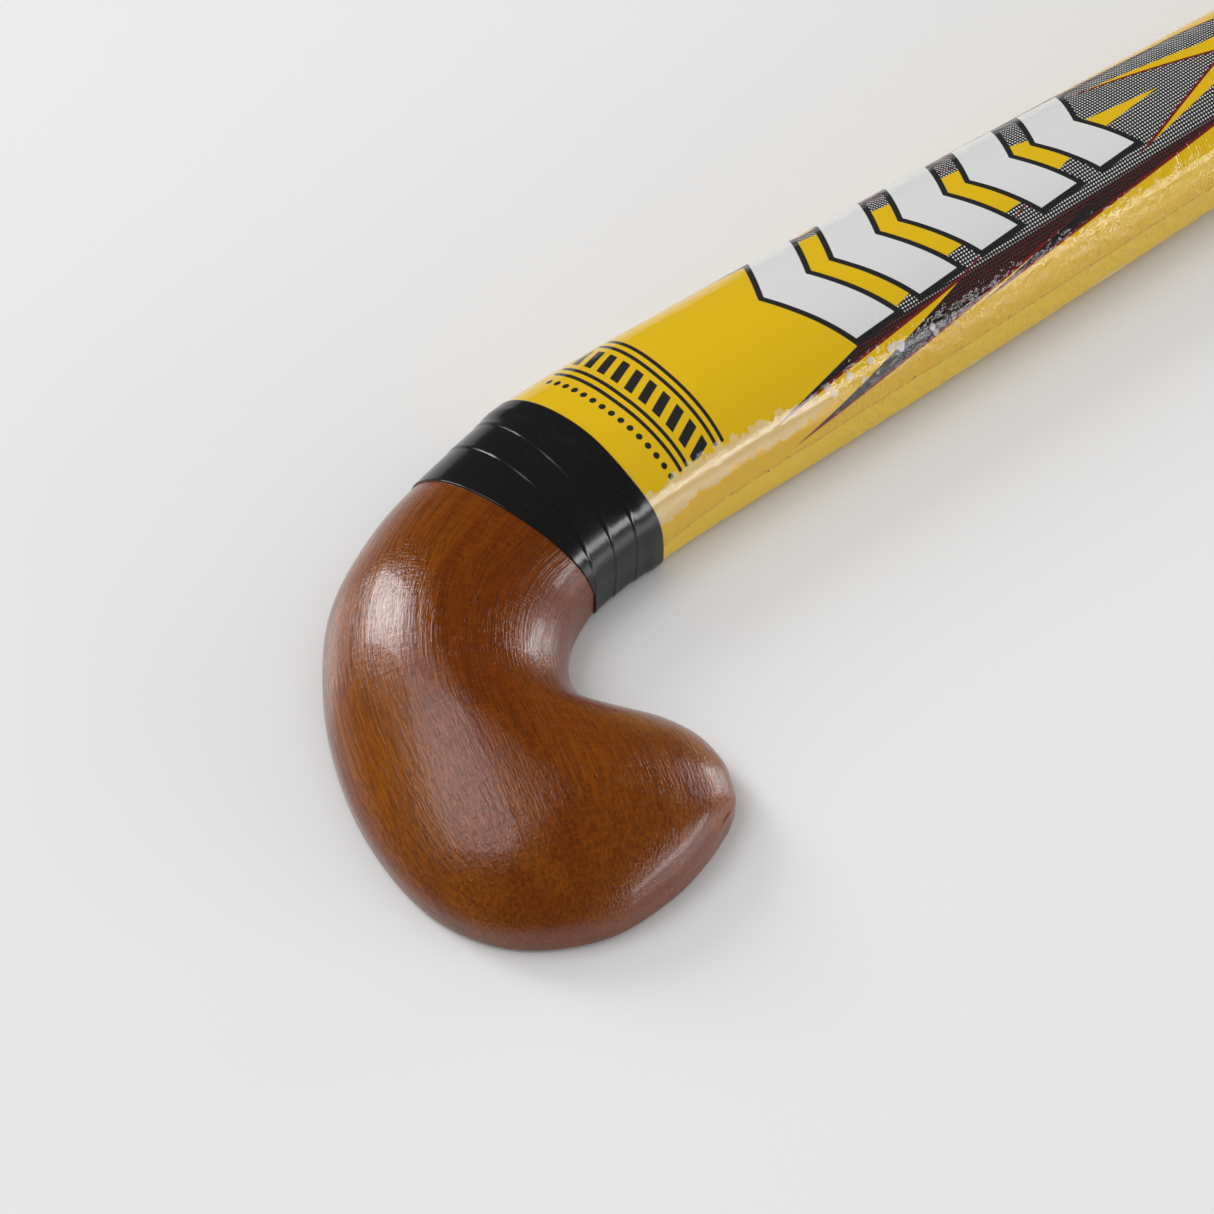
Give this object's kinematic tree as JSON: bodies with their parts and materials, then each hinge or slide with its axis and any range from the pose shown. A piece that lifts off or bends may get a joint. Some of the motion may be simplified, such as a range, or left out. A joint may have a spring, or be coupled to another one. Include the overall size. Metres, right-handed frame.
{
  "type": "field hockey stick",
  "caption": "Traditional wooden field hockey stick with a bent, varnished hook, taped neck, printed shaft sleeve and a round gripped handle.",
  "frame": {"origin": "on the flat playing face, under the centre line of the shaft, level with the bottom of the throat", "axes": "+X up the shaft towards the butt cap, -Y towards the toe of the hook, +Z out of the rounded back"},
  "size_m": [0.9271, 0.1211, 0.033],
  "materials": {
    "varnished_wood": "glossy orange-brown varnish over steam-bent mulberry, grain following the hook",
    "cane": "bare split cane",
    "rubber_sheet": "plain",
    "glass_cloth": "resin-bound open weave",
    "twine": "close-wound, waxed",
    "printed_film": "printed yellow film with black, white and dark red pattern",
    "clear_film": "clear, glossy, slightly wrinkled",
    "black_tape": "stretched vinyl tape",
    "cushion_layer": "thin foam rubber",
    "grip_band": "perforated, grained grip band",
    "cap_rubber": "moulded matt rubber"
  },
  "bodies": {
    "root": {"head": "varnished_wood", "splice_binding": "glass_cloth", "twine_whipping": "twine", "printed_film": "printed_film", "clear_sleeve": "clear_film", "head_tape": "black_tape", "cane_slip_1": "cane", "rubber_spring_1": "rubber_sheet", "cane_slip_2": "cane", "rubber_spring_2": "rubber_sheet", "cane_slip_3": "cane", "rubber_spring_3": "rubber_sheet", "cane_slip_4": "cane", "grip_underlay": "cushion_layer", "grip_wrap": "grip_band", "grip_finishing_tape": "black_tape", "butt_cap": "cap_rubber"}
  },
  "joints": []
}
